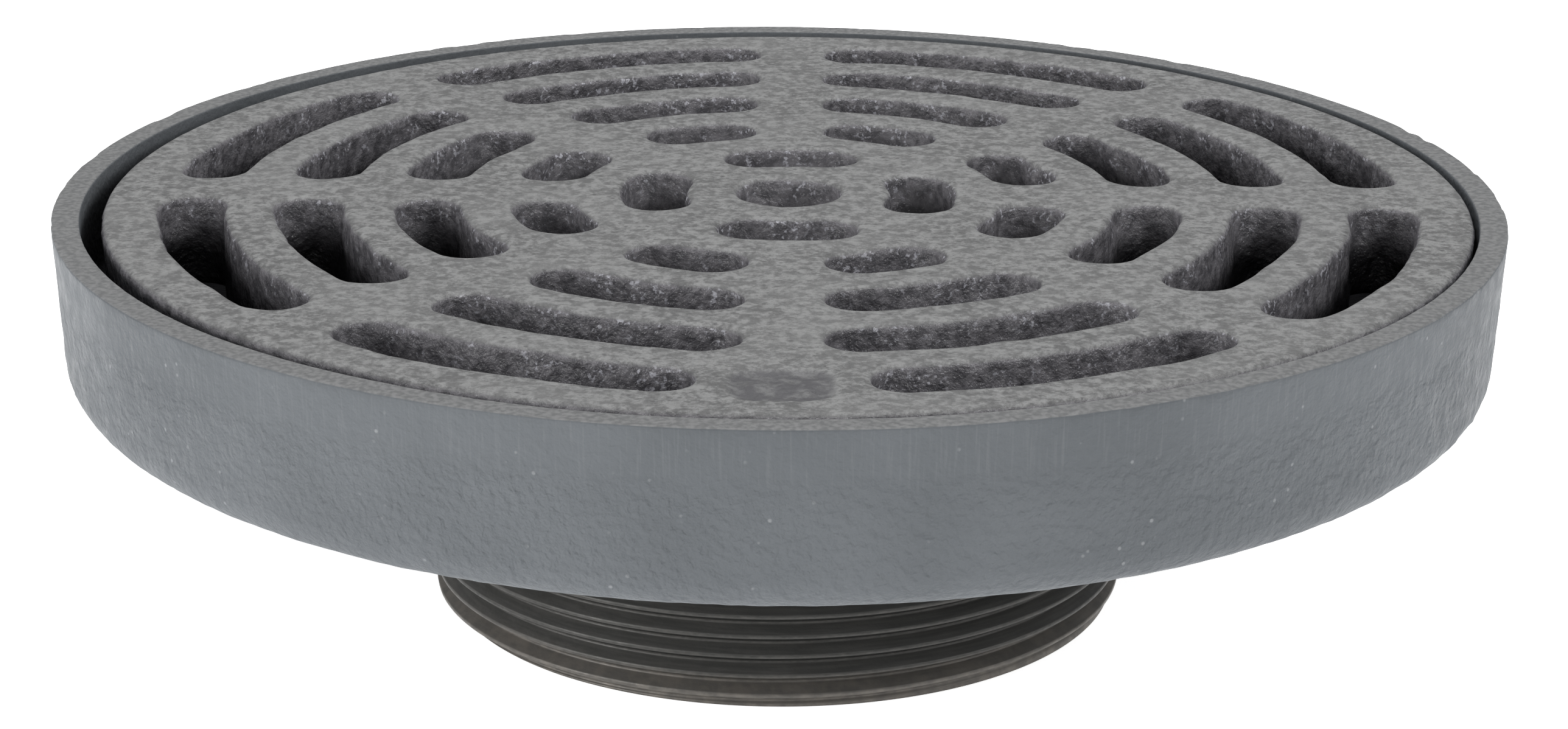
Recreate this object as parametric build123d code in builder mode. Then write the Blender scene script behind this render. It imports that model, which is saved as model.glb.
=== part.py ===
"""Round floor drain strainer: a painted cast head, a loose cast grate in it and a threaded outlet shank.

The origin is on the shank's axis at its lower end face, +Z is up, and the front of the drain is -Y.
"""

import os
from math import asin, cos, degrees, radians, sin, tan

from build123d import *

# Overall size
TOTAL_HEIGHT = 65.7
HEAD_OUTER_R = 114.3
HEAD_HEIGHT = 27.2

# Strainer head
RIM_THICKNESS = 4.6
WALL_DRAFT = 1.4
RECESS_DRAFT = 0.5
LOWER_CORNER_R = 6.4
SEAT_WIDTH = 7.0
SEAT_DEPTH = 14.3
SUMP_DRAFT = 1.5
SUMP_CORNER_R = 3.0
FLOOR_THICKNESS = 5.5
FLOOR_FALL = 1.1
HUB_R = 61.5
HUB_HEIGHT = 4.2
HUB_FILLET = 2.5
RIM_EDGE_BREAK = 0.4

# Grate
GRATE_R = 107.6
GRATE_THICKNESS = 14.3
GRATE_DRAFT = 0.8
GRATE_EDGE_R = 1.2
GRATE_SHIFT_X = 1.3
GRATE_SHIFT_Y = -1.0
GRATE_TURN = -0.5
RIB_COUNT = 8
RIB_HALF_WIDTH = 5.9
SLOT_WIDTH = 10.2
SLOT_EDGE_R = 1.0
RING_PITCH = 18.1
INNER_RING_R = 21.3
RING_COUNT = 5
INNER_SLOT_COUNT = 4
INNER_SLOT_LENGTH = 21.6
CENTRE_HOLE_R = 8.0

# Blank recessed panel on the front rib, where the outermost slots stop short
PANEL_RIB_HALF_WIDTH = 12.1
PANEL_CENTRE_R = 94.9
PANEL_WIDTH = 14.3
PANEL_LENGTH = 12.6
PANEL_DEPTH = 0.5
PANEL_CORNER_R = 2.5
FRONT_ANGLE = -90

# Threaded shank, straight thread with 8 threads to the inch
THREAD_MAJOR_R = 55.9
THREAD_PITCH = 25.4 / 8
THREAD_DEPTH = 2.0
THREAD_ROOT_FLAT = 0.35
THREAD_HALF_ANGLE = 30
THREAD_CUT_CLEARANCE = 0.25
BORE_R = 49.7
SPIGOT_R = 52.8
SPIGOT_CLEARANCE = 0.03
COLLAR_HEIGHT = 2.0
COLLAR_R = 55.1
RELIEF_HEIGHT = 3.4
RELIEF_DEPTH = 2.15
SHANK_CHAMFER = 1.5
BORE_CHAMFER = 0.6

# Levels and radii that follow
head_underside_z = TOTAL_HEIGHT - HEAD_HEIGHT
hub_face_z = head_underside_z - HUB_HEIGHT
floor_low_z = head_underside_z + FLOOR_THICKNESS
floor_high_z = floor_low_z + FLOOR_FALL
seat_z = TOTAL_HEIGHT - SEAT_DEPTH
recess_top_r = HEAD_OUTER_R - RIM_THICKNESS
seat_outer_r = recess_top_r - RECESS_DRAFT
seat_inner_r = seat_outer_r - SEAT_WIDTH
sump_floor_r = seat_inner_r - SUMP_DRAFT
relief_bottom_z = hub_face_z - COLLAR_HEIGHT - RELIEF_HEIGHT


def corner(sketch, r, z):
    """The corner of a section sketch, in its own plane, that is nearest to radius r and height z."""
    return sketch.vertices().sort_by_distance(Vector(r, z))[0]


def ring_slot(centre_r, start_angle, end_angle):
    """One curved slot with round ends, its centre line on the circle of radius centre_r."""
    with BuildLine(mode=Mode.PRIVATE) as centre_line:
        CenterArc((0, 0), centre_r, start_angle, end_angle - start_angle)
    SlotArc(centre_line.line.edge(), SLOT_WIDTH)


def rib_angle(centre_r, half_width):
    """Degrees from a rib's axis to the centre of the round slot end beside it."""
    return degrees(asin((half_width + SLOT_WIDTH / 2) / centre_r))


# Strainer head: an open pan with a seat ledge for the grate and a hub for the shank
with BuildPart() as strainer_head:
    with BuildSketch(Plane.XZ) as head_section:
        with BuildLine():
            Polyline(
                (HEAD_OUTER_R, TOTAL_HEIGHT),
                (recess_top_r, TOTAL_HEIGHT),
                (seat_outer_r, seat_z),
                (seat_inner_r, seat_z),
                (sump_floor_r, floor_high_z),
                (SPIGOT_R + SPIGOT_CLEARANCE, floor_low_z),
                (SPIGOT_R + SPIGOT_CLEARANCE, hub_face_z),
                (HUB_R, hub_face_z),
                (HUB_R, head_underside_z),
                (HEAD_OUTER_R - WALL_DRAFT, head_underside_z),
                close=True,
            )
        make_face()
        fillet(corner(head_section, HEAD_OUTER_R - WALL_DRAFT, head_underside_z), LOWER_CORNER_R)
        fillet(corner(head_section, sump_floor_r, floor_high_z), SUMP_CORNER_R)
        fillet(corner(head_section, HUB_R, head_underside_z), HUB_FILLET)
        chamfer(corner(head_section, HEAD_OUTER_R, TOTAL_HEIGHT), RIM_EDGE_BREAK)
        chamfer(corner(head_section, recess_top_r, TOTAL_HEIGHT), RIM_EDGE_BREAK)
    revolve(axis=Axis.Z)

# Grate: a drafted disc lying loose on the ledge, so it sits a little off centre and turned
turn = radians(GRATE_TURN)
grate_plane = Plane(
    origin=(GRATE_SHIFT_X, GRATE_SHIFT_Y, seat_z),
    x_dir=(cos(turn), sin(turn), 0),
    z_dir=(0, 0, 1),
)
slot_pitch = 360 / RIB_COUNT
with BuildPart() as grate:
    with BuildSketch(grate_plane):
        Circle(GRATE_R)
    extrude(amount=GRATE_THICKNESS)
    chamfer(
        grate.edges().filter_by(GeomType.CIRCLE).sort_by(Axis.Z)[0],
        length=GRATE_THICKNESS - 2 * GRATE_EDGE_R,
        length2=GRATE_DRAFT,
    )
    with BuildSketch(grate_plane):
        Circle(CENTRE_HOLE_R)
        inner_half_angle = degrees((INNER_SLOT_LENGTH - SLOT_WIDTH) / 2 / INNER_RING_R)
        for index in range(INNER_SLOT_COUNT):
            middle = index * 360 / INNER_SLOT_COUNT
            ring_slot(INNER_RING_R, middle - inner_half_angle, middle + inner_half_angle)
        for ring in range(1, RING_COUNT):
            ring_r = INNER_RING_R + ring * RING_PITCH
            for index in range(RIB_COUNT):
                start = FRONT_ANGLE + index * slot_pitch
                beside_start = RIB_HALF_WIDTH
                beside_end = RIB_HALF_WIDTH
                if ring == RING_COUNT - 1 and index == 0:
                    beside_start = PANEL_RIB_HALF_WIDTH
                if ring == RING_COUNT - 1 and index == RIB_COUNT - 1:
                    beside_end = PANEL_RIB_HALF_WIDTH
                ring_slot(
                    ring_r,
                    start + rib_angle(ring_r, beside_start),
                    start + slot_pitch - rib_angle(ring_r, beside_end),
                )
    extrude(amount=GRATE_THICKNESS, mode=Mode.SUBTRACT)
    top_face = grate.faces().sort_by(Axis.Z)[-1]
    fillet(top_face.inner_wires().edges(), SLOT_EDGE_R)
    fillet(grate.faces().sort_by(Axis.Z)[-1].outer_wire().edges(), GRATE_EDGE_R)
    with BuildSketch(grate_plane.offset(GRATE_THICKNESS - PANEL_DEPTH)):
        with Locations((0, -PANEL_CENTRE_R)):
            RectangleRounded(PANEL_WIDTH, PANEL_LENGTH, PANEL_CORNER_R)
    extrude(amount=2 * PANEL_DEPTH, mode=Mode.SUBTRACT)

# Threaded shank: a sleeve let into the hub, with a V thread cut from its free end up to a relief
with BuildPart() as threaded_shank:
    with BuildSketch(Plane.XZ) as shank_section:
        with BuildLine():
            Polyline(
                (BORE_R, 0),
                (THREAD_MAJOR_R, 0),
                (THREAD_MAJOR_R, hub_face_z),
                (SPIGOT_R, hub_face_z),
                (SPIGOT_R, floor_low_z),
                (BORE_R, floor_low_z),
                close=True,
            )
        make_face()
        chamfer(corner(shank_section, THREAD_MAJOR_R, 0), SHANK_CHAMFER)
        chamfer(corner(shank_section, BORE_R, 0), BORE_CHAMFER)
        chamfer(corner(shank_section, BORE_R, floor_low_z), BORE_CHAMFER)
    revolve(axis=Axis.Z)
    thread_start_z = -THREAD_PITCH
    thread_end_z = relief_bottom_z + RELIEF_HEIGHT / 2
    with BuildLine() as thread_path:
        Helix(
            pitch=THREAD_PITCH,
            height=thread_end_z - thread_start_z,
            radius=THREAD_MAJOR_R,
            center=(0, 0, thread_start_z),
        )
    groove_plane = Plane(
        origin=thread_path.line @ 0,
        x_dir=(1, 0, 0),
        z_dir=thread_path.line % 0,
    )
    root_half = THREAD_ROOT_FLAT / 2
    mouth_half = root_half + (THREAD_DEPTH + THREAD_CUT_CLEARANCE) * tan(radians(THREAD_HALF_ANGLE))
    with BuildSketch(groove_plane):
        with BuildLine():
            Polyline(
                (-THREAD_DEPTH, -root_half),
                (THREAD_CUT_CLEARANCE, -mouth_half),
                (THREAD_CUT_CLEARANCE, mouth_half),
                (-THREAD_DEPTH, root_half),
                close=True,
            )
        make_face()
    sweep(path=thread_path.line, is_frenet=True, mode=Mode.SUBTRACT)
    with BuildSketch(Plane.XY.offset(relief_bottom_z)):
        Circle(THREAD_MAJOR_R + RELIEF_DEPTH)
        Circle(THREAD_MAJOR_R - RELIEF_DEPTH, mode=Mode.SUBTRACT)
    extrude(amount=RELIEF_HEIGHT, mode=Mode.SUBTRACT)
    with BuildSketch(Plane.XY.offset(relief_bottom_z + RELIEF_HEIGHT)):
        Circle(THREAD_MAJOR_R + RELIEF_DEPTH)
        Circle(COLLAR_R, mode=Mode.SUBTRACT)
    extrude(amount=COLLAR_HEIGHT, mode=Mode.SUBTRACT)

os.makedirs("parts", exist_ok=True)
strainer_head.part.label = "strainer_head"
grate.part.label = "grate"
threaded_shank.part.label = "threaded_shank"
export_step(strainer_head.part, "parts/strainer_head.step")
export_step(grate.part, "parts/grate.step")
export_step(threaded_shank.part, "parts/threaded_shank.step")
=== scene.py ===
"""Looks of the floor drain: cast grate, painted pan and machined threaded shank on a white studio floor."""

import itertools
import math

import bmesh
import bpy
import numpy as np
from mathutils import Matrix, Vector
from mathutils.geometry import delaunay_2d_cdt


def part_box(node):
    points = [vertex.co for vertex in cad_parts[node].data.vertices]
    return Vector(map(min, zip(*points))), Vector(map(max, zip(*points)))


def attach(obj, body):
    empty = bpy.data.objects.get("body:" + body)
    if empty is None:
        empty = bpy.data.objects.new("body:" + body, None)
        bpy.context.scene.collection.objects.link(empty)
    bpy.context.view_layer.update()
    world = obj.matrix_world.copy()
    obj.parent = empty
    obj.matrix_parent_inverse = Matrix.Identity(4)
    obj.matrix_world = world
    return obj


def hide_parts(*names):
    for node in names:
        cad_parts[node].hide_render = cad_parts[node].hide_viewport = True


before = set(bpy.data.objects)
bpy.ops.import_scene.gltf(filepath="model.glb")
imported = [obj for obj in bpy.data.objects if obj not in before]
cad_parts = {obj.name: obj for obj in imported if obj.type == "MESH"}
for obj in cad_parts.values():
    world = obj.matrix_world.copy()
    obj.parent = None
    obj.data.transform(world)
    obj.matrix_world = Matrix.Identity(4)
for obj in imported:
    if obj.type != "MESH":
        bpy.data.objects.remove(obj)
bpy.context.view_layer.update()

MM = 0.001


def box_mm(node):
    """Lowest and highest corner of a CAD node, in millimetres."""
    low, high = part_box(node)
    return np.array(low) / MM, np.array(high) / MM


head_low, head_high = box_mm("strainer_head")
grate_low, grate_high = box_mm("grate")
shank_low, shank_high = box_mm("threaded_shank")

# Levels and radii of the frame, in millimetres
RIM_Z = head_high[2]
HEAD_R = (head_high[0] - head_low[0]) / 2
HUB_FACE_Z = head_low[2]
HUB_HEIGHT = 4.2
HEAD_UNDERSIDE_Z = HUB_FACE_Z + HUB_HEIGHT
FLOOR_LOW_Z = shank_high[2]
FLOOR_FALL = 1.1
SEAT_Z = grate_low[2]
RIM_THICKNESS = 4.6
RECESS_DRAFT = 0.5
SEAT_WIDTH = 7.0
SUMP_DRAFT = 1.5
WALL_DRAFT = 1.4
LOWER_CORNER_R = 6.4
RECESS_TOP_R = HEAD_R - RIM_THICKNESS
SEAT_OUTER_R = RECESS_TOP_R - RECESS_DRAFT
SEAT_INNER_R = SEAT_OUTER_R - SEAT_WIDTH
SUMP_FLOOR_R = SEAT_INNER_R - SUMP_DRAFT
SPIGOT_R = 52.8
HUB_R = 61.5
GRATE_CENTRE = (grate_low + grate_high)[:2] / 2
GRATE_R = (grate_high[0] - grate_low[0]) / 2
GRATE_TURN = math.radians(-0.5)
THREAD_R = (shank_high[0] - shank_low[0]) / 2
THREAD_PITCH = 25.4 / 8
THREAD_DEPTH = 2.0
THREAD_ROOT_FLAT = 0.35
THREAD_CREST_FLAT = 0.5
THREAD_BEVEL = 0.03
SHANK_CHAMFER = 1.5
BORE_CHAMFER = 0.6
RELIEF_BOTTOM_Z = HUB_FACE_Z - 5.4
RELIEF_TOP_Z = HUB_FACE_Z - 2.0
COLLAR_R = THREAD_R - 0.8
RELIEF_R = THREAD_R - 2.15
BORE_R = 49.7

# Camera
CAMERA_LENS = 81.6
CAMERA_DISTANCE = 567.4
CAMERA_ELEVATION = math.radians(15.73)
CAMERA_AIM = (0.84, 0.0, RIM_Z - 29.5)
CAMERA_ROLL = math.radians(0.406)


def make_camera():
    data = bpy.data.cameras.new("camera")
    data.lens = CAMERA_LENS
    data.sensor_width = 36
    data.clip_start = 0.01
    data.clip_end = 50
    camera = bpy.data.objects.new("camera", data)
    bpy.context.scene.collection.objects.link(camera)
    back = Vector((0, -math.cos(CAMERA_ELEVATION), math.sin(CAMERA_ELEVATION)))
    camera.location = (Vector((0, 0, RIM_Z)) + back * CAMERA_DISTANCE) * MM
    look = (Vector(CAMERA_AIM) * MM - camera.location).to_track_quat("-Z", "Y")
    camera.rotation_mode = "QUATERNION"
    camera.rotation_quaternion = look @ Matrix.Rotation(CAMERA_ROLL, 3, "Z").to_quaternion()
    bpy.context.scene.camera = camera


# Meshes


def noise(points, size, seed):
    """Smooth random values from -1 to 1 at points, rows of xyz, with lumps about size across."""
    scaled = points / size
    base = np.floor(scaled).astype(np.int64)
    part = scaled - base
    ease = part * part * (3 - 2 * part)
    total = np.zeros(len(points))
    for step in itertools.product((0, 1), repeat=3):
        cell = base + np.array(step)
        key = cell[:, 0] * 73856093 ^ cell[:, 1] * 19349663 ^ cell[:, 2] * 83492791 ^ seed * 40503
        key = (key ^ (key >> 15)) * 2246822519 & 0xFFFFFFFF
        key = (key ^ (key >> 13)) * 3266489917 & 0xFFFFFFFF
        value = (key >> 8 & 0xFFFF) / 32767.5 - 1
        total += value * np.prod(np.where(step, ease, 1 - ease), axis=1)
    return total


def polar(r, degrees):
    """The x and y of a point at radius r."""
    return np.array((r * math.cos(math.radians(degrees)), r * math.sin(math.radians(degrees))))


def smooth_step(values, low, high):
    """0 to 1 with soft ends as values go from low to high."""
    part = np.clip((values - low) / (high - low), 0, 1)
    return part * part * (3 - 2 * part)


def make_piece(name, points, faces, material):
    """A smooth-shaded mesh object from points in millimetres."""
    mesh = bpy.data.meshes.new(name)
    mesh.from_pydata((points * MM).tolist(), [], faces)
    mesh.validate()
    mesh.polygons.foreach_set("use_smooth", [True] * len(mesh.polygons))
    mesh.materials.append(material)
    piece = bpy.data.objects.new(name, mesh)
    bpy.context.scene.collection.objects.link(piece)
    return piece


def points_and_normals(mesh):
    points = np.zeros(len(mesh.vertices) * 3)
    normals = np.zeros(len(mesh.vertices) * 3)
    mesh.vertices.foreach_get("co", points)
    mesh.vertices.foreach_get("normal", normals)
    return points.reshape(-1, 3) / MM, normals.reshape(-1, 3)


def set_points(mesh, points):
    mesh.vertices.foreach_set("co", (points * MM).ravel())
    mesh.update()


def round_corners(corners):
    """Points along a closed outline of (r, z, corner radius, point spacing after the corner)."""
    count = len(corners)
    ends = []
    for i, (r, z, radius, _) in enumerate(corners):
        here = np.array((r, z))
        before = np.array(corners[i - 1][:2]) - here
        after = np.array(corners[(i + 1) % count][:2]) - here
        before /= np.linalg.norm(before)
        after /= np.linalg.norm(after)
        half_angle = math.acos(np.clip(before @ after, -1, 1)) / 2
        reach = radius / math.tan(half_angle)
        middle = (before + after) / np.linalg.norm(before + after)
        centre = here + middle * radius / math.sin(half_angle)
        start = here + before * reach - centre
        end = here + after * reach - centre
        sweep = math.atan2(start[0] * end[1] - start[1] * end[0], start @ end)
        steps = max(3, math.ceil(abs(sweep) * radius / 0.6))
        arc = []
        for k in range(steps + 1):
            turn = sweep * k / steps
            spin = np.array(((math.cos(turn), -math.sin(turn)), (math.sin(turn), math.cos(turn))))
            arc.append(centre + spin @ start)
        ends.append(arc)
    outline = []
    for i, arc in enumerate(ends):
        outline.extend(arc)
        run_start = arc[-1]
        run_end = ends[(i + 1) % count][0]
        steps = math.ceil(np.linalg.norm(run_end - run_start) / corners[i][3])
        outline.extend(run_start + (run_end - run_start) * k / steps for k in range(1, steps))
    return np.array(outline)


def turned_mesh(outline, segments):
    """Points and quads of a closed outline of (r, z) turned round the Z axis."""
    angles = np.arange(segments) * 2 * math.pi / segments
    r = outline[:, 0][None, :]
    x = np.cos(angles)[:, None] * r
    y = np.sin(angles)[:, None] * r
    z = np.broadcast_to(outline[:, 1][None, :], x.shape)
    points = np.stack((x, y, z), axis=-1).reshape(-1, 3)
    rows = len(outline)
    column = np.arange(segments)[:, None] * rows
    following = np.roll(column, -1, axis=0)
    row = np.arange(rows)[None, :]
    above = np.roll(row, -1, axis=1)
    quads = np.stack((column + row, following + row, following + above, column + above), axis=-1)
    return points, quads.reshape(-1, 4).tolist()


# Strainer head

HEAD_SEGMENTS = 800
GROUND_STRIP = 9.0


def make_head(material):
    """The pan, turned from its section and then made uneven like a casting."""
    outline = round_corners(
        [
            (HEAD_R, RIM_Z, 0.45, 0.65),
            (RECESS_TOP_R, RIM_Z, 0.45, 2.4),
            (SEAT_OUTER_R, SEAT_Z, 0.8, 1.6),
            (SEAT_INNER_R, SEAT_Z, 0.6, 1.6),
            (SUMP_FLOOR_R, FLOOR_LOW_Z + FLOOR_FALL, 3.0, 8.0),
            (SPIGOT_R, FLOOR_LOW_Z, 0.3, 3.0),
            (SPIGOT_R, HUB_FACE_Z, 0.3, 3.0),
            (HUB_R, HUB_FACE_Z, 1.0, 2.0),
            (HUB_R, HEAD_UNDERSIDE_Z, 2.5, 7.0),
            (HEAD_R - WALL_DRAFT, HEAD_UNDERSIDE_Z, LOWER_CORNER_R, 0.7),
        ]
    )
    points, quads = turned_mesh(outline, HEAD_SEGMENTS)
    piece = make_piece("pan", points, quads, material)
    points, normals = points_and_normals(piece.data)
    radius = np.hypot(points[:, 0], points[:, 1])
    outside = smooth_step(radius, RECESS_TOP_R, HEAD_R - 1.5)
    cast = smooth_step(RIM_Z - points[:, 2], GROUND_STRIP * 0.6, GROUND_STRIP * 1.4)
    rough = 0.35 + 0.65 * cast
    patches = np.clip(noise(points, 14, 4), -0.3, 1) + 0.45
    pimples = np.clip(noise(points, 1.9, 3) - 0.42, 0, 1) * patches
    height = 0.10 * noise(points, 28, 1) - 0.10
    height += 0.050 * noise(points, 3.0, 2) * rough
    height += 0.060 * noise(points, 1.6, 5) * rough
    height += 0.50 * pimples * cast * outside
    edge = smooth_step(RIM_Z - points[:, 2], 0.9, 0.2) * smooth_step(radius, HEAD_R - 1.2, HEAD_R - 0.2)
    height -= 0.30 * edge * np.clip(noise(points, 2.6, 6) + noise(points, 9, 7) - 0.25, 0, 1)
    fitted = smooth_step(radius, HUB_R + 4, HUB_R) * smooth_step(points[:, 2], HUB_FACE_Z + 0.5, HUB_FACE_Z)
    ledge = smooth_step(np.abs(points[:, 2] - SEAT_Z), 0.9, 0.3) * (radius < SEAT_OUTER_R + 0.5)
    points += normals * (height * (1 - fitted) * (1 - ledge))[:, None]
    points[:, 2] = np.clip(points[:, 2], HUB_FACE_Z, RIM_Z)
    radius = np.hypot(points[:, 0], points[:, 1])
    points[:, :2] *= (np.minimum(radius, HEAD_R - 0.01) / radius)[:, None]
    set_points(piece.data, points)
    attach(piece, "drain_head")
    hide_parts("strainer_head")


# Grate

SLOT_HALF = 5.1
SLOT_EDGE_R = 1.25
SLOT_DRAFT = 0.35
BOTTOM_CHAMFER = 0.4
RIM_EDGE_R = 1.3
RIM_DRAFT = 0.8
RIB_HALF = 5.9
INNER_RING_R = 21.3
INNER_SLOT_LENGTH = 21.6
RING_PITCH = 18.1
CENTRE_HOLE_R = 8.0
SLOTS_END_R = 104.0
PANEL_RIB_HALF = 12.1
PANEL_CENTRE_R = 94.9
PANEL_HALF = (7.15, 6.3)
PANEL_BUMPS = (-3.6, 0.0, 3.6)
PANEL_PLACE = (
    GRATE_CENTRE[0] + PANEL_CENTRE_R * math.sin(GRATE_TURN),
    GRATE_CENTRE[1] - PANEL_CENTRE_R * math.cos(GRATE_TURN),
)
SMOOTH_SLOT = polar(INNER_RING_R + 2 * RING_PITCH, 247.5)

# (ring, degrees, size, rise) of lumps of iron left on a slot's outer wall
CASTING_LUMPS = (
    (1, 24.0, 2.6, 1.9),
    (2, 29.0, 2.2, 1.2),
    (2, 15.0, 2.0, -0.9),
    (4, 40.0, 1.8, -0.8),
    (3, 292.0, 2.0, 0.9),
)
WALL_SPACING = 0.95
TOP_SPACING = 1.25
BOTTOM_SPACING = 2.6
ROW_RATIO = 0.866


def slot_arcs():
    """(ring radius, start angle, end angle) of every slot's centre line, in the grate's own frame."""
    arcs = []
    half = (INNER_SLOT_LENGTH / 2 - SLOT_HALF) / INNER_RING_R
    for k in range(4):
        arcs.append((INNER_RING_R, k * math.pi / 2 - half, k * math.pi / 2 + half))
    for ring in range(1, 5):
        r = INNER_RING_R + ring * RING_PITCH
        for k in range(8):
            start = -math.pi / 2 + k * math.pi / 4
            beside_start = PANEL_RIB_HALF if ring == 4 and k == 0 else RIB_HALF
            beside_end = PANEL_RIB_HALF if ring == 4 and k == 7 else RIB_HALF
            first = start + math.asin((beside_start + SLOT_HALF) / r)
            last = start + math.pi / 4 - math.asin((beside_end + SLOT_HALF) / r)
            arcs.append((r, first, last))
    return arcs


def slot_loop(r, first, last, spacing):
    """Wall points of one slot, anticlockwise, with unit normals that point into the metal."""
    loop = []
    outer_steps = max(2, round((last - first) * (r + SLOT_HALF) / spacing))
    inner_steps = max(2, round((last - first) * (r - SLOT_HALF) / spacing))
    cap_steps = max(6, round(math.pi * SLOT_HALF / spacing))
    for k in range(outer_steps):
        a = first + (last - first) * k / outer_steps
        loop.append((r, a, a, 1))
    for k in range(cap_steps):
        loop.append((r, last, last + math.pi * k / cap_steps, 1))
    for k in range(inner_steps):
        a = last + (first - last) * k / inner_steps
        loop.append((r, a, a + math.pi, 1))
    for k in range(cap_steps):
        loop.append((r, first, first + math.pi + math.pi * k / cap_steps, 1))
    centre = np.array([(q * math.cos(a), q * math.sin(a)) for q, a, _, _ in loop])
    normal = np.array([(math.cos(d), math.sin(d)) for _, _, d, _ in loop])
    return centre + normal * SLOT_HALF, normal


def circle_loop(r, spacing, inward):
    """Points on a circle, with normals that point into the metal."""
    steps = round(2 * math.pi * r / spacing)
    angles = np.arange(steps) * 2 * math.pi / steps
    normal = np.stack((np.cos(angles), np.sin(angles)), axis=1)
    return normal * r, -normal if inward else normal


def wall_rows(thickness, edge_r, draft):
    """(offset into the metal, height) of each row of points down a wall, from the top face."""
    rows = []
    for angle in np.radians((90, 66, 44, 22, 0)):
        rows.append((edge_r * (1 - math.cos(angle)), thickness - edge_r + edge_r * math.sin(angle)))
    depth = thickness - edge_r - BOTTOM_CHAMFER
    steps = round(depth / 1.1)
    for k in range(1, steps + 1):
        rows.append((-draft * k / steps, thickness - edge_r - depth * k / steps))
    rows.append((BOTTOM_CHAMFER - draft, 0.0))
    return rows


def clear_of_slots(points, arcs, gap):
    """True for each point at least gap inside the metal."""
    radius = np.hypot(points[:, 0], points[:, 1])
    clear = (radius > CENTRE_HOLE_R + gap) & (radius < GRATE_R - gap)
    angle = np.arctan2(points[:, 1], points[:, 0])
    for r, first, last in arcs:
        middle = (first + last) / 2
        off = (angle - middle + math.pi) % (2 * math.pi) - math.pi
        off = np.clip(off, first - middle, last - middle)
        near = np.stack((r * np.cos(middle + off), r * np.sin(middle + off)), axis=1)
        clear &= np.linalg.norm(points - near, axis=1) > SLOT_HALF + gap
    return clear


def cap_faces(loops, arcs, offset, spacing, lift, seed):
    """Fills a flat face between loops that lie offset into the metal: extra inner points, and triangles."""
    random = np.random.default_rng(seed)
    rows = int(2 * GRATE_R / (spacing * ROW_RATIO)) + 2
    grid = []
    for j in range(rows):
        y = -GRATE_R + j * spacing * ROW_RATIO
        x = np.arange(-GRATE_R, GRATE_R, spacing) + (j % 2) * spacing / 2
        grid.append(np.stack((x, np.full(len(x), y)), axis=1))
    grid = np.concatenate(grid)
    grid += random.uniform(-0.18, 0.18, grid.shape) * spacing
    grid = grid[clear_of_slots(grid, arcs, offset + spacing * 0.55)]
    edge = np.concatenate(loops)
    edges = []
    first = 0
    for loop in loops:
        count = len(loop)
        edges.extend((first + k, first + (k + 1) % count) for k in range(count))
        first += count
    every = np.concatenate((edge, grid))
    made = delaunay_2d_cdt([Vector(p) for p in every.tolist()], edges, [], 1, 1e-5)
    faces = np.array([[made[3][v][0] for v in face] for face in made[2]])
    middles = every[faces].mean(axis=1)
    faces = faces[clear_of_slots(middles, arcs, offset)]
    inner = np.concatenate((grid, np.full((len(grid), 1), lift)), axis=1)
    return inner, faces


def make_grate(material):
    """The grate: a wall of rows round the rim and every slot, closed by a top and a bottom face."""
    thickness = grate_high[2] - grate_low[2]
    arcs = slot_arcs()
    loops = [circle_loop(GRATE_R, WALL_SPACING, True)]
    loops.append(circle_loop(CENTRE_HOLE_R, WALL_SPACING, False))
    loops.extend(slot_loop(*arc, WALL_SPACING) for arc in arcs)
    points = []
    faces = []
    top_loops = []
    top_ids = []
    bottom_loops = []
    bottom_ids = []
    count = 0
    for index, (loop, normal) in enumerate(loops):
        rim = index == 0
        rows = wall_rows(thickness, RIM_EDGE_R if rim else SLOT_EDGE_R, -RIM_DRAFT if rim else SLOT_DRAFT)
        ids = []
        for offset, height in rows:
            ring = loop + normal * offset
            points.append(np.concatenate((ring, np.full((len(ring), 1), height)), axis=1))
            ids.append(np.arange(count, count + len(ring)))
            count += len(ring)
        for upper, lower in zip(ids[:-1], ids[1:]):
            quads = np.stack((upper, np.roll(upper, -1), np.roll(lower, -1), lower), axis=1)
            faces.extend((quads[:, ::-1] if rim else quads).tolist())
        top_loops.append(loop + normal * rows[0][0])
        bottom_loops.append(loop + normal * rows[-1][0])
        top_ids.append(ids[0])
        bottom_ids.append(ids[-1])
    for cap_loops, ids, offset, spacing, lift, seed in (
        (top_loops, top_ids, SLOT_EDGE_R, TOP_SPACING, thickness, 11),
        (bottom_loops, bottom_ids, BOTTOM_CHAMFER - SLOT_DRAFT, BOTTOM_SPACING, 0.0, 12),
    ):
        inner, triangles = cap_faces(cap_loops, arcs, offset, spacing, lift, seed)
        order = np.concatenate((*ids, np.arange(count, count + len(inner))))
        points.append(inner)
        count += len(inner)
        triangles = order[triangles]
        faces.extend((triangles if lift else triangles[:, ::-1]).tolist())
    points = np.concatenate(points)
    spin = np.array(
        ((math.cos(GRATE_TURN), -math.sin(GRATE_TURN)), (math.sin(GRATE_TURN), math.cos(GRATE_TURN)))
    )
    local = points.copy()
    points[:, :2] = points[:, :2] @ spin.T + GRATE_CENTRE
    points[:, 2] += SEAT_Z
    piece = make_piece("cast_grate", points, faces, material)
    points, normals = points_and_normals(piece.data)
    weather_grate(points, normals, local, thickness)
    set_points(piece.data, points)
    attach(piece, "grate")
    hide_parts("grate")


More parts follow.
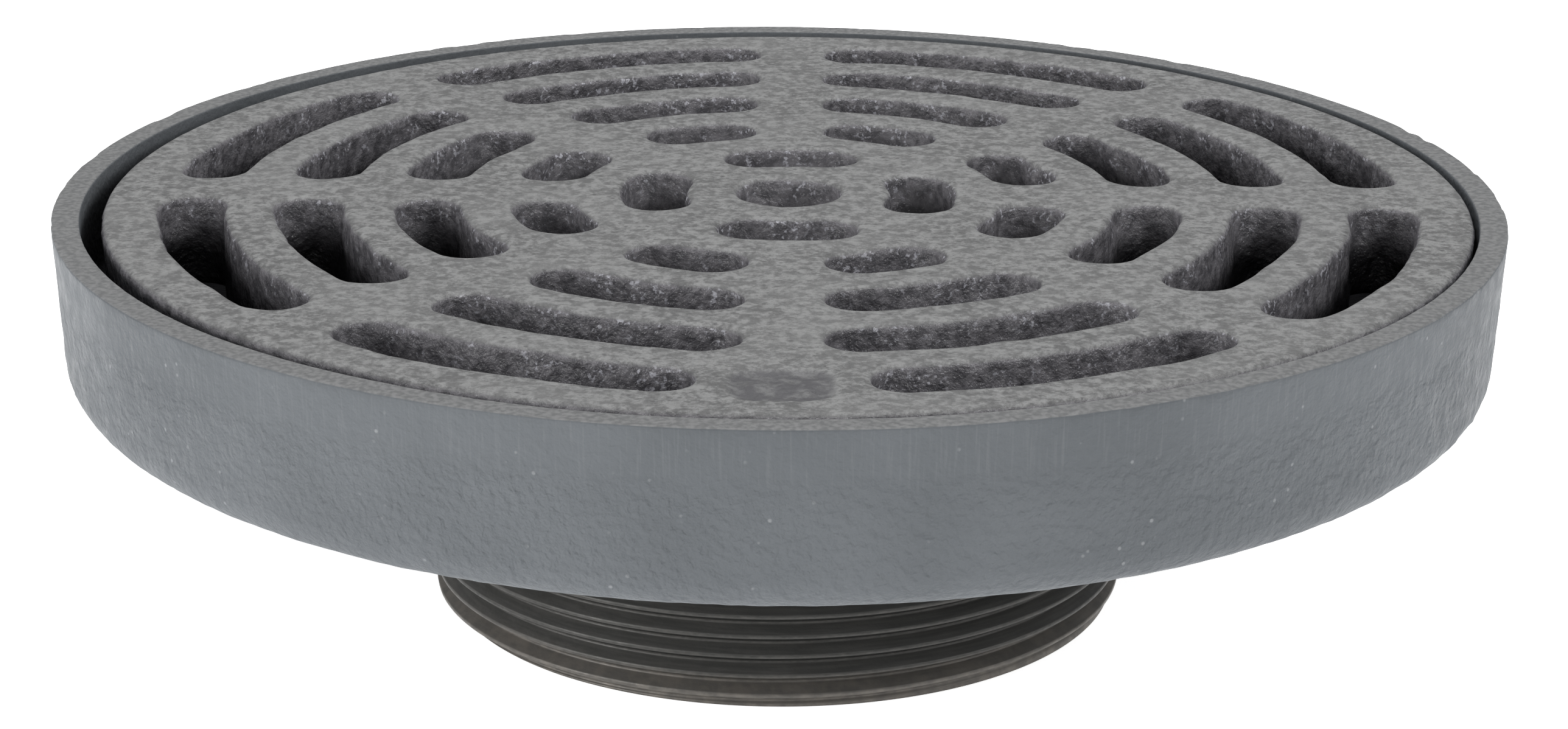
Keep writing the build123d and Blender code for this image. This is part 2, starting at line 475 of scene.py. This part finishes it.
def weather_grate(points, normals, local, thickness):
    """Moves the points of a clean grate so that its walls are lumpy and its top is grainy."""
    radius = np.hypot(local[:, 0], local[:, 1])
    outer = smooth_step(radius, GRATE_R - 2.5, GRATE_R - 1.0)
    depth = thickness - local[:, 2]
    steep = 1 - smooth_step(np.abs(normals[:, 2]), 0.55, 0.95)
    sway = np.stack((noise(points, 11, 21), noise(points, 11, 22)), axis=1)
    sway += 0.5 * np.stack((noise(points, 5, 23), noise(points, 5, 24)), axis=1)
    points[:, :2] += 0.30 * sway * (1 - outer)[:, None]
    below_edge = smooth_step(depth, 0.2, 2.2)
    height = 0.30 * noise(points, 3.4, 25) * steep * (0.35 + 0.65 * below_edge)
    height += 0.22 * noise(points, 2.1, 26) * steep * below_edge
    height += (0.035 * noise(points, 2.4, 27) + 0.03 * noise(points, 1.3, 28) - 0.06) * (1 - steep)
    height -= 0.12 * np.clip(noise(points, 6, 29), 0, 1) * (1 - steep)
    height *= np.where(local[:, 2] < 0.5, 0, 1)
    height *= 1 - 0.6 * outer
    across = local[:, 0] / PANEL_HALF[0]
    along = (local[:, 1] + PANEL_CENTRE_R) / PANEL_HALF[1]
    inside_panel = smooth_step(across**4 + along**4, 1.25, 0.55) * (depth < 0.4)
    bumps = np.zeros(len(points))
    for offset in PANEL_BUMPS:
        bump_x = (local[:, 0] - offset) / 1.5
        bump_y = (local[:, 1] + PANEL_CENTRE_R) / 2.4
        bumps += np.exp(-(bump_x**2) - bump_y**2)
    height -= (0.55 - 0.50 * np.clip(bumps, 0, 1)) * inside_panel
    smooth_wall = smooth_step(np.hypot(*(local[:, :2] - SMOOTH_SLOT).T), 24, 17)
    smooth_wall *= smooth_step(np.abs(radius - np.hypot(*SMOOTH_SLOT)), SLOT_HALF + 2.5, SLOT_HALF + 1.0)
    height *= 1 - 0.85 * smooth_wall * steep
    for ring, degrees, size, rise in CASTING_LUMPS:
        centre = polar(INNER_RING_R + ring * RING_PITCH + SLOT_HALF, degrees)
        away = np.hypot(*(local[:, :2] - centre).T)
        lump = np.exp(-((away / size) ** 2)) * np.exp(-(((depth - 3.5) / 3.0) ** 2))
        height += rise * lump * steep
    points += normals * height[:, None]
    points[:, 2] = np.clip(points[:, 2], SEAT_Z, RIM_Z)


# Threaded shank

SHANK_SEGMENTS = 600


# Half widths of the thread's flats, in pitches
HALF_CREST = THREAD_CREST_FLAT / THREAD_PITCH / 2
HALF_ROOT = THREAD_ROOT_FLAT / THREAD_PITCH / 2


def thread_radius(phase):
    """Radius at a height above a crest's middle, in pitches."""
    away = np.abs((phase + 0.5) % 1 - 0.5)
    down = np.clip((away - HALF_CREST) / (0.5 - HALF_CREST - HALF_ROOT), 0, 1)
    return THREAD_R - THREAD_DEPTH * down


def make_shank(material):
    """The shank: columns of points up the thread. The last column joins the first one turn higher."""
    breaks = (
        -HALF_CREST - THREAD_BEVEL,
        -HALF_CREST,
        HALF_CREST,
        HALF_CREST + THREAD_BEVEL,
        0.5 - HALF_ROOT - THREAD_BEVEL,
        0.5 - HALF_ROOT,
        0.5 + HALF_ROOT,
        0.5 + HALF_ROOT + THREAD_BEVEL,
    )
    turns = math.ceil(RELIEF_BOTTOM_Z / THREAD_PITCH) + 2
    phases = np.array([n + b for n in range(-2, turns) for b in sorted(breaks)])
    per_turn = len(breaks)
    columns = []
    for j in range(SHANK_SEGMENTS):
        shift = j / SHANK_SEGMENTS
        z = np.clip((phases + shift) * THREAD_PITCH, 0, RELIEF_BOTTOM_Z)
        r = thread_radius(z / THREAD_PITCH - shift)
        r = np.minimum(r, THREAD_R - SHANK_CHAMFER + z)
        columns.append(np.stack((r, z), axis=1))
    thread = np.stack(columns)
    upper = np.array(
        [
            (RELIEF_R, RELIEF_BOTTOM_Z),
            (RELIEF_R, RELIEF_BOTTOM_Z + 1.2),
            (RELIEF_R, RELIEF_TOP_Z - 0.3),
            (COLLAR_R - 0.3, RELIEF_TOP_Z),
            (COLLAR_R, RELIEF_TOP_Z + 0.3),
            (COLLAR_R, HUB_FACE_Z),
            (SPIGOT_R, HUB_FACE_Z),
            (SPIGOT_R, FLOOR_LOW_Z),
            (BORE_R + BORE_CHAMFER, FLOOR_LOW_Z),
            (BORE_R, FLOOR_LOW_Z - BORE_CHAMFER),
            *((BORE_R, z) for z in np.linspace(FLOOR_LOW_Z - 3, 3, 14)),
            (BORE_R, BORE_CHAMFER),
            (BORE_R + BORE_CHAMFER, 0.0),
            ((BORE_R + THREAD_R) / 2 - 0.5, 0.0),
        ]
    )
    angles = np.arange(SHANK_SEGMENTS) * 2 * math.pi / SHANK_SEGMENTS
    points = []
    for j, angle in enumerate(angles):
        column = np.concatenate((thread[j], upper))
        points.append(
            np.stack(
                (column[:, 0] * math.cos(angle), column[:, 0] * math.sin(angle), column[:, 1]), axis=1
            )
        )
    rows = len(phases) + len(upper)
    points = np.concatenate(points)
    faces = []
    for j in range(SHANK_SEGMENTS):
        here = j * rows
        last = j == SHANK_SEGMENTS - 1
        there = 0 if last else here + rows
        shift = per_turn if last else 0
        for i in range(len(phases) - 1 - shift):
            faces.append((here + i, there + i + shift, there + i + 1 + shift, here + i + 1))
        if last:
            top = here + len(phases) - 1 - shift
            faces.append((top, there + len(phases) - 1, there + len(phases), here + len(phases)))
            for i in range(len(phases), rows):
                following = (i + 1) if i + 1 < rows else 0
                faces.append((here + i, there + i, there + following, here + following))
        else:
            for i in range(len(phases) - 1, rows):
                following = (i + 1) if i + 1 < rows else 0
                faces.append((here + i, there + i, there + following, here + following))
    piece = make_piece("shank", points, faces, material)
    clean_mesh(piece.data)
    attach(piece, "drain_head")
    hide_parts("threaded_shank")


def clean_mesh(mesh):
    """Merges points that coincide, so that no face has zero area."""
    work = bmesh.new()
    work.from_mesh(mesh)
    bmesh.ops.remove_doubles(work, verts=work.verts, dist=2e-6)
    bmesh.ops.dissolve_degenerate(work, edges=work.edges, dist=1e-6)
    bmesh.ops.recalc_face_normals(work, faces=work.faces)
    work.to_mesh(mesh)
    work.free()


# Materials


class Painter:
    """One node material under construction."""

    def __init__(self, name):
        self.material = bpy.data.materials.new(name)
        self.material.use_nodes = True
        self.tree = self.material.node_tree
        self.shader = self.tree.nodes["Principled BSDF"]
        self.place = self.add("ShaderNodeTexCoord").outputs["Object"]
        split = self.add("ShaderNodeSeparateXYZ")
        self.tree.links.new(self.place, split.inputs[0])
        self.x, self.y, self.z = split.outputs
        normal = self.add("ShaderNodeNewGeometry").outputs["Normal"]
        split = self.add("ShaderNodeSeparateXYZ")
        self.tree.links.new(normal, split.inputs[0])
        self.up = split.outputs[2]

    def add(self, kind):
        return self.tree.nodes.new(kind)

    def feed(self, socket, value):
        if isinstance(value, bpy.types.NodeSocket):
            self.tree.links.new(value, socket)
        else:
            socket.default_value = value

    def math(self, operation, *values):
        node = self.add("ShaderNodeMath")
        node.operation = operation
        for socket, value in zip(node.inputs, values):
            self.feed(socket, value)
        return node.outputs[0]

    def range(self, value, low, high, to_low=0.0, to_high=1.0):
        """value mapped smoothly from low..high to to_low..to_high."""
        node = self.add("ShaderNodeMapRange")
        node.interpolation_type = "SMOOTHSTEP"
        for socket, number in zip(node.inputs, (value, low, high, to_low, to_high)):
            self.feed(socket, number)
        return node.outputs[0]

    def noise(self, size, detail=3.0, place=None, rough=0.5):
        """Cloudy values round 0.5, with lumps about size millimetres across."""
        node = self.add("ShaderNodeTexNoise")
        self.feed(node.inputs["Vector"], place or self.place)
        node.inputs["Scale"].default_value = 1 / (size * MM)
        node.inputs["Detail"].default_value = detail
        node.inputs["Roughness"].default_value = rough
        return node.outputs["Fac"]

    def cells(self, size, place=None):
        """Distance to the nearest of scattered spots, 0 at a spot."""
        node = self.add("ShaderNodeTexVoronoi")
        self.feed(node.inputs["Vector"], place or self.place)
        node.inputs["Scale"].default_value = 1 / (size * MM)
        return node.outputs["Distance"]

    def mix(self, factor, first, second):
        node = self.add("ShaderNodeMix")
        node.data_type = "RGBA"
        self.feed(node.inputs[0], factor)
        for socket, value in zip((node.inputs[6], node.inputs[7]), (first, second)):
            self.feed(socket, (*value, 1) if isinstance(value, tuple) else value)
        return node.outputs[2]

    def wrapped(self, around, along):
        """A place that runs round the Z axis in metres of arc, with each direction stretched."""
        angle = self.math("ARCTAN2", self.y, self.x)
        join = self.add("ShaderNodeCombineXYZ")
        self.feed(join.inputs[0], self.math("MULTIPLY", angle, HEAD_R * MM / around))
        self.feed(join.inputs[1], self.math("MULTIPLY", self.z, 1 / along))
        return join.outputs[0]

    def radius(self):
        x_square = self.math("MULTIPLY", self.x, self.x)
        y_square = self.math("MULTIPLY", self.y, self.y)
        return self.math("SQRT", self.math("ADD", x_square, y_square))

    def bump(self, height, depth, normal=None):
        """Bumps of depth millimetres where height goes from 0 to 1."""
        node = self.add("ShaderNodeBump")
        node.inputs["Strength"].default_value = 1.0
        node.inputs["Distance"].default_value = depth * MM
        self.feed(node.inputs["Height"], height)
        if normal:
            self.feed(node.inputs["Normal"], normal)
        return node.outputs[0]

    def finish(self, colour, roughness, normal, metallic=0.0):
        self.feed(self.shader.inputs["Base Color"], colour)
        self.feed(self.shader.inputs["Roughness"], roughness)
        self.feed(self.shader.inputs["Normal"], normal)
        self.shader.inputs["Metallic"].default_value = metallic
        return self.material


def head_material():
    paint = Painter("head_paint")
    top = paint.range(paint.up, 0.5, 0.9)
    inside = paint.range(paint.radius(), (RECESS_TOP_R + 0.4) * MM, (RECESS_TOP_R - 0.2) * MM)
    low = paint.range(paint.z, (RIM_Z - 0.8) * MM, (RIM_Z - 4.0) * MM)
    above_floor = paint.range(paint.z, (FLOOR_LOW_Z - 3.0) * MM, (FLOOR_LOW_Z - 1.5) * MM)
    # Mask of the sump under the grate, from just below the rim down to the floor; it is painted near-black
    # as painted shade and made rougher
    shaded_sump = paint.math("MULTIPLY", paint.math("MULTIPLY", inside, low), above_floor)
    broad = paint.noise(24, 2)
    fine = paint.noise(0.9, 4)
    body = paint.mix(paint.range(broad, 0.3, 0.7), (0.116, 0.125, 0.134), (0.133, 0.143, 0.153))
    streaks = paint.noise(0.42, 4, paint.wrapped(1.0, 26.0))
    strip = paint.range(paint.z, (RIM_Z - 10.5) * MM, (RIM_Z - 5.5) * MM)
    streaked = paint.math("MULTIPLY", paint.range(streaks, 0.5, 0.72), strip)
    body = paint.mix(paint.math("MULTIPLY", streaked, 0.20), body, (0.215, 0.222, 0.23))
    # Scattered bright specks on the pan's paint: painted highlights that stand in for glints
    glint_specks = paint.range(paint.cells(2.4), 0.16, 0.06)
    glint_specks = paint.math("MULTIPLY", glint_specks, paint.range(paint.noise(9, 2), 0.50, 0.62))
    body = paint.mix(paint.math("MULTIPLY", glint_specks, 0.55), body, (0.31, 0.32, 0.33))
    rim = paint.mix(paint.range(fine, 0.35, 0.65), (0.155, 0.158, 0.160), (0.225, 0.227, 0.228))
    colour = paint.mix(top, body, rim)
    # Painted shade: the sump under the grate goes near-black
    colour = paint.mix(shaded_sump, colour, (0.005, 0.005, 0.006))
    roughness = paint.range(paint.noise(3.2, 3), 0.3, 0.7, 0.38, 0.54)
    roughness = paint.math("ADD", roughness, paint.math("MULTIPLY", shaded_sump, 0.4))
    cast = paint.range(paint.z, (RIM_Z - 6.0) * MM, (RIM_Z - 11.0) * MM, 0.35, 1.0)
    peel = paint.math("MULTIPLY", paint.noise(1.35, 3), cast)
    normal = paint.bump(peel, 0.68)
    normal = paint.bump(paint.noise(0.45, 2), 0.07, normal)
    paint.shader.inputs["Specular IOR Level"].default_value = 0.07
    return paint.finish(colour, roughness, normal)


def grate_material():
    paint = Painter("grate_paint")
    top = paint.range(paint.up, 0.45, 0.92)
    grain = paint.noise(1.7, 6, rough=0.75)
    broad = paint.noise(22, 3)
    face = paint.mix(paint.range(grain, 0.40, 0.62), (0.104, 0.105, 0.105), (0.246, 0.248, 0.247))
    face = paint.mix(paint.range(broad, 0.35, 0.75, 0.0, 0.30), face, (0.235, 0.237, 0.236))
    pits = paint.range(paint.cells(2.1), 0.24, 0.08)
    pits = paint.math("MULTIPLY", pits, paint.range(paint.noise(7, 2), 0.46, 0.60))
    face = paint.mix(paint.math("MULTIPLY", pits, 0.75), face, (0.070, 0.070, 0.072))
    across = paint.math("DIVIDE", paint.math("SUBTRACT", paint.x, PANEL_PLACE[0] * MM), PANEL_HALF[0] * MM)
    along = paint.math("DIVIDE", paint.math("SUBTRACT", paint.y, PANEL_PLACE[1] * MM), PANEL_HALF[1] * MM)
    oval = paint.math("ADD", paint.math("POWER", across, 4.0), paint.math("POWER", along, 4.0))
    # The recessed panel is painted darker, in patches: painted shade in the recess
    panel_shade = paint.range(oval, 1.3, 0.6)
    panel_shade = paint.math("MULTIPLY", panel_shade, paint.range(paint.noise(2.4, 3), 0.40, 0.62, 1.0, 0.55))
    face = paint.mix(paint.math("MULTIPLY", panel_shade, 0.9), face, (0.066, 0.065, 0.072))
    cloud = paint.range(paint.noise(2.0, 4), 0.35, 0.65)
    wall = paint.mix(cloud, (0.100, 0.097, 0.106), (0.200, 0.194, 0.208))
    glints = paint.range(paint.noise(0.75, 3), 0.55, 0.66)
    glints = paint.math("MULTIPLY", glints, paint.range(paint.noise(4.5, 3), 0.44, 0.60))
    glints = paint.math("MULTIPLY", glints, paint.range(paint.z, (RIM_Z - 5.5) * MM, (RIM_Z - 2.0) * MM))
    in_slots = paint.range(paint.radius(), SLOTS_END_R * MM, (SLOTS_END_R - 2.5) * MM)
    glints = paint.math("MULTIPLY", glints, in_slots)
    wall = paint.mix(paint.math("MULTIPLY", glints, 0.85), wall, (0.52, 0.52, 0.57))
    colour = paint.mix(top, wall, face)
    # Walls go near-black further below the top face: painted shade deep in the slots and down the grate's
    # outer edge
    deep_shade = paint.range(paint.z, (RIM_Z - 3.5) * MM, (RIM_Z - 9.5) * MM)
    colour = paint.mix(paint.math("MULTIPLY", deep_shade, 0.95), colour, (0.008, 0.008, 0.009))
    roughness = paint.range(top, 0.0, 1.0, 0.17, 0.60)
    coarse = paint.noise(1.15, 4, rough=0.6)
    depth = paint.range(top, 0.0, 1.0, 1.0, 0.55)
    normal = paint.bump(paint.math("MULTIPLY", coarse, depth), 0.60)
    normal = paint.bump(paint.noise(0.5, 3), 0.08, normal)
    return paint.finish(colour, roughness, normal)


def shank_material():
    metal = Painter("shank_metal")
    rings = metal.noise(0.35, 3, metal.wrapped(60.0, 1.0))
    flank = metal.mix(metal.range(rings, 0.35, 0.7), (0.090, 0.089, 0.084), (0.120, 0.117, 0.110))
    cloud = metal.range(metal.noise(1.2, 3), 0.3, 0.7)
    shaded_flat = metal.mix(cloud, (0.042, 0.041, 0.038), (0.070, 0.067, 0.062))
    # Colour by facing: upward faces keep the lighter flank colour, steep faces take the darker flat colour
    # and downward faces go near-black, as painted light and shade on the thread
    colour = metal.mix(metal.range(metal.math("ABSOLUTE", metal.up), 0.55, 0.25), flank, shaded_flat)
    colour = metal.mix(metal.range(metal.up, -0.35, -0.7), colour, (0.020, 0.020, 0.019))
    dust = metal.range(metal.noise(2.2, 4), 0.35, 0.65, 0.45, 1.0)
    dust = metal.math("MULTIPLY", dust, metal.range(metal.z, 6.5 * MM, 3.0 * MM))
    colour = metal.mix(metal.math("MULTIPLY", dust, 0.8), colour, (0.185, 0.168, 0.148))
    roughness = metal.range(metal.noise(2.0, 3), 0.3, 0.7, 0.42, 0.56)
    normal = metal.bump(metal.noise(0.6, 3), 0.04)
    return metal.finish(colour, roughness, normal, 0.35)


# Studio


def make_floor():
    """A white floor that glows a little, so that it reads as the plain studio background."""
    half = 6.0
    corners = [(-half, -half, 0), (half, -half, 0), (half, half, 0), (-half, half, 0)]
    mesh = bpy.data.meshes.new("floor")
    mesh.from_pydata(corners, [], [(0, 1, 2, 3)])
    floor = bpy.data.objects.new("floor", mesh)
    bpy.context.scene.collection.objects.link(floor)
    material = bpy.data.materials.new("floor")
    material.use_nodes = True
    shader = material.node_tree.nodes["Principled BSDF"]
    shader.inputs["Base Color"].default_value = (0.95, 0.95, 0.95, 1)
    shader.inputs["Roughness"].default_value = 0.9
    shader.inputs["Emission Color"].default_value = (1, 1, 1, 1)
    shader.inputs["Emission Strength"].default_value = 0.80
    mesh.materials.append(material)


def make_light(name, place, size, power):
    """A soft box aimed at the drain."""
    data = bpy.data.lights.new(name, "AREA")
    data.shape = "RECTANGLE"
    data.size, data.size_y = size
    data.energy = power
    light = bpy.data.objects.new(name, data)
    light.location = place
    target = Vector((0, 0, RIM_Z * MM))
    light.rotation_mode = "QUATERNION"
    light.rotation_quaternion = (target - light.location).to_track_quat("-Z", "Y")
    bpy.context.scene.collection.objects.link(light)


def make_studio():
    make_floor()
    world = bpy.data.worlds.new("studio")
    bpy.context.scene.world = world
    world.use_nodes = True
    background = world.node_tree.nodes["Background"]
    background.inputs["Color"].default_value = (1, 1, 1, 1)
    background.inputs["Strength"].default_value = 0.24
    make_light("left_box", (-1.0, -0.62, 0.28), (0.4, 0.7), 8.3)
    make_light("right_box", (1.0, -0.5, 0.85), (0.4, 0.7), 7.6)
    make_light("top_box", (0, 0.4, 1.1), (0.6, 0.4), 7.5)
    make_light("front_box", (-0.1, -0.45, 1.0), (0.22, 0.16), 0.7)
    bpy.context.scene.view_settings.view_transform = "Standard"


make_camera()
make_head(head_material())
make_grate(grate_material())
make_shank(shank_material())
make_studio()
